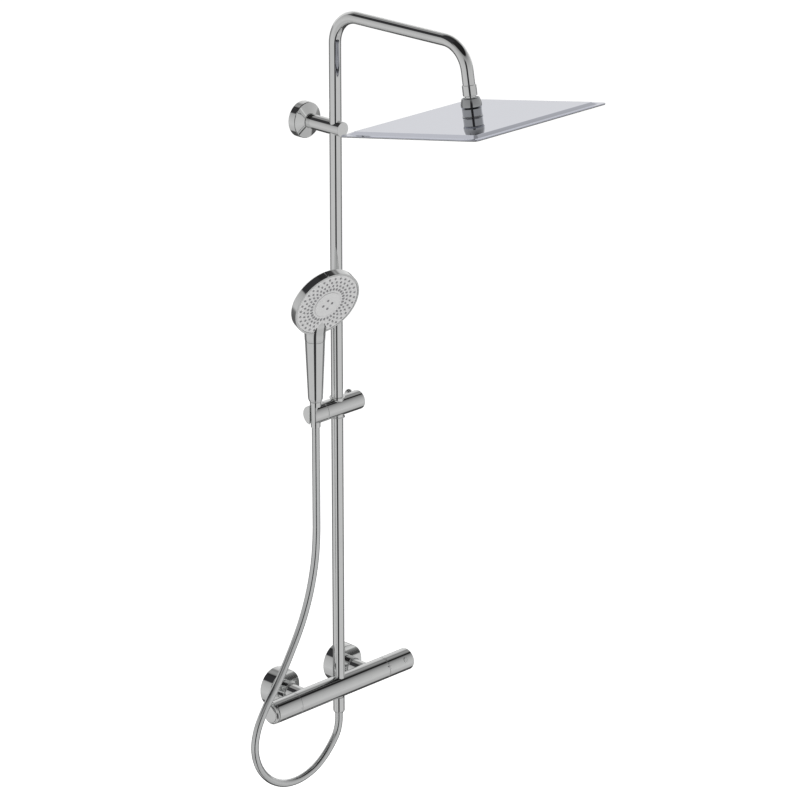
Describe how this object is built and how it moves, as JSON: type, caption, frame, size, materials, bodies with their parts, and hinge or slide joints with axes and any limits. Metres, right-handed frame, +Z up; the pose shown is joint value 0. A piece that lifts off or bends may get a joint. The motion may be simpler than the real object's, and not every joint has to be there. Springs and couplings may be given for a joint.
{
  "type": "thermostatic shower column",
  "caption": "Wall-mounted bar mixer with riser, fixed overhead arm with a flat square rain head, and a hand shower on a sliding, tilting holder.",
  "frame": {"origin": "on the wall's face, midway between the two water inlets, level with the mixer's axis", "axes": "+Z up along the riser, +Y into the wall, +X to the right of someone facing the wall"},
  "size_m": [0.37, 0.5499, 1.3386],
  "materials": {
    "chrome": "polished chrome",
    "hose_chrome": "smooth silver hose",
    "chromed_plastic": "chrome-plated plastic",
    "brass": "machined brass",
    "steel": "satin steel",
    "mirror_steel": "mirror-polished steel",
    "grey_plastic": "satin grey plastic",
    "dark_plastic": "black plastic",
    "white_plastic": "natural acetal",
    "rubber": "matt rubber"
  },
  "bodies": {
    "fixed_column": {"mixer_body": "chrome", "flow_cartridge": "brass", "thermostat_cartridge": "brass", "wall_union_left": "brass", "wall_union_right": "brass", "rosette_left": "chrome", "rosette_right": "chrome", "union_nut_left": "chrome", "union_nut_right": "chrome", "filter_washer_left": "rubber", "filter_washer_right": "rubber", "check_valve_left": "white_plastic", "check_valve_right": "white_plastic", "outlet_spigot": "chrome", "outlet_washer": "rubber", "outlet_nut": "chrome", "riser_tube": "chrome", "tube_coupling": "brass", "shower_arm": "chrome", "bracket_rod": "chrome", "bracket_flange": "chrome", "bracket_grub_screw": "steel", "bracket_wall_plate": "steel", "bracket_rod_screw": "steel", "wall_screw_1": "steel", "wall_screw_2": "steel", "arm_nut": "chrome", "shower_hose": "hose_chrome"},
    "flow_control": {"flow_handle": "chrome", "flow_spindle": "steel", "flow_end_ring": "chrome", "flow_end_cap": "chrome"},
    "temperature_control": {"temperature_handle": "chrome", "temperature_spindle": "steel", "safety_button_spring": "steel"},
    "safety_stop": {"safety_button": "dark_plastic"},
    "slider_bushes": {"slider_bush_upper": "dark_plastic", "slider_bush_lower": "dark_plastic"},
    "slider": {"slider_body": "chrome", "brake_shoe": "white_plastic", "holder_axle": "steel"},
    "slider_release": {"clamp_knob": "chrome"},
    "holder": {"cone_holder": "chrome"},
    "cone_nut": {"hose_cone": "chrome"},
    "handset": {"handset_handle": "chromed_plastic", "handset_body": "chromed_plastic", "handset_face": "grey_plastic", "handset_centre": "grey_plastic", "handset_washer": "rubber"},
    "head_stem": {"ball_stem": "steel"},
    "head_socket": {"ball_cap": "chrome", "ball_seat": "white_plastic", "head_collar": "chrome"},
    "rain_head": {"head_cover": "mirror_steel", "head_spray_plate": "steel"}
  },
  "joints": [
    {"name": "flow_turn", "type": "hinge", "parent": "fixed_column", "child": "flow_control", "pos_m": [-0.1035, -0.079, 0], "axis": [1, 0, 0], "range_deg": [-90, 90]},
    {"name": "temperature_turn", "type": "hinge", "parent": "fixed_column", "child": "temperature_control", "pos_m": [0.106, -0.079, 0], "axis": [1, 0, 0], "range_deg": [-60, 150]},
    {"name": "safety_button_press", "type": "slide", "parent": "temperature_control", "child": "safety_stop", "axis": [0, 0.891, -0.454], "range_m": [0, 0.0015], "stiffness_N_per_m": 300, "springref_m": -0.002, "deforming": ["safety_button_spring"]},
    {"name": "slider_height", "type": "slide", "parent": "fixed_column", "child": "slider_bushes", "axis": [0, 0, 1], "range_m": [-0.1, 0.15], "deforming": ["shower_hose"]},
    {"name": "slider_swivel", "type": "hinge", "parent": "slider_bushes", "child": "slider", "pos_m": [0, -0.079, 0.507], "axis": [0, 0, 1], "range_deg": [-30, 40], "deforming": ["shower_hose"]},
    {"name": "release_press", "type": "slide", "parent": "slider", "child": "slider_release", "axis": [0, -0.766, -0.6428], "range_m": [0, 0.003], "stiffness_N_per_m": 800, "springref_m": -0.002},
    {"name": "holder_tilt", "type": "hinge", "parent": "slider", "child": "holder", "pos_m": [-0.034, -0.079, 0.507], "axis": [1, 0, 0], "range_deg": [0, 35], "deforming": ["shower_hose"]},
    {"name": "handset_lift", "type": "slide", "parent": "holder", "child": "cone_nut", "axis": [0, 0, 1], "range_m": [0, 0.05], "deforming": ["shower_hose"]},
    {"name": "handset_turn", "type": "hinge", "parent": "cone_nut", "child": "handset", "pos_m": [-0.0502, -0.079, 0.507], "axis": [0, 0, 1], "range_deg": [-50, 5]},
    {"name": "head_swivel", "type": "hinge", "parent": "fixed_column", "child": "head_stem", "pos_m": [0, -0.38206, 1.0855], "axis": [0, -0.1736, -0.9848], "range_deg": [-90, 90]},
    {"name": "head_tilt", "type": "hinge", "parent": "head_stem", "child": "head_socket", "pos_m": [0, -0.38206, 1.0855], "axis": [1, 0, 0], "range_deg": [-9, 9]},
    {"name": "head_turn", "type": "hinge", "parent": "head_socket", "child": "rain_head", "pos_m": [0, -0.38206, 1.0855], "axis": [0, -0.1736, -0.9848], "range_deg": [-90, 90]}
  ]
}
